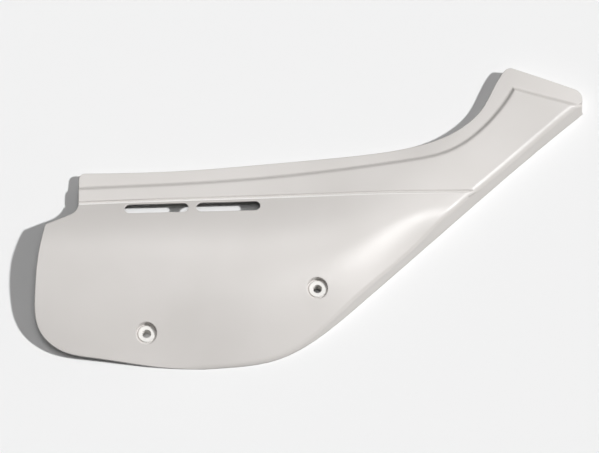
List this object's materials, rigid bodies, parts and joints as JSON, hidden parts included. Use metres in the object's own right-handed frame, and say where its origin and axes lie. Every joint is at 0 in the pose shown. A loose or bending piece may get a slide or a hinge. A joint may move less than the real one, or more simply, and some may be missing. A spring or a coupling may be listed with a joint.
{
  "type": "motorcycle side panel",
  "caption": "Domed moulded side cover with a tapering upswept arm, a stepped rim along the top edge, vent slots and two bushed, countersunk fixing points.",
  "frame": {"origin": "lower end of the front bush's bore, in the plane that the panel rests on", "axes": "+X along the panel from the round front end to the arm's tip, +Y across it towards the stepped rim, +Z out of the outer face, along the fixings"},
  "size_m": [0.5329, 0.3031, 0.0325],
  "materials": {
    "panel": "glossy, off-white",
    "bush": "satin, white"
  },
  "bodies": {
    "root": {"side_panel": "panel", "front_bush": "bush", "rear_bush": "bush"}
  },
  "joints": []
}
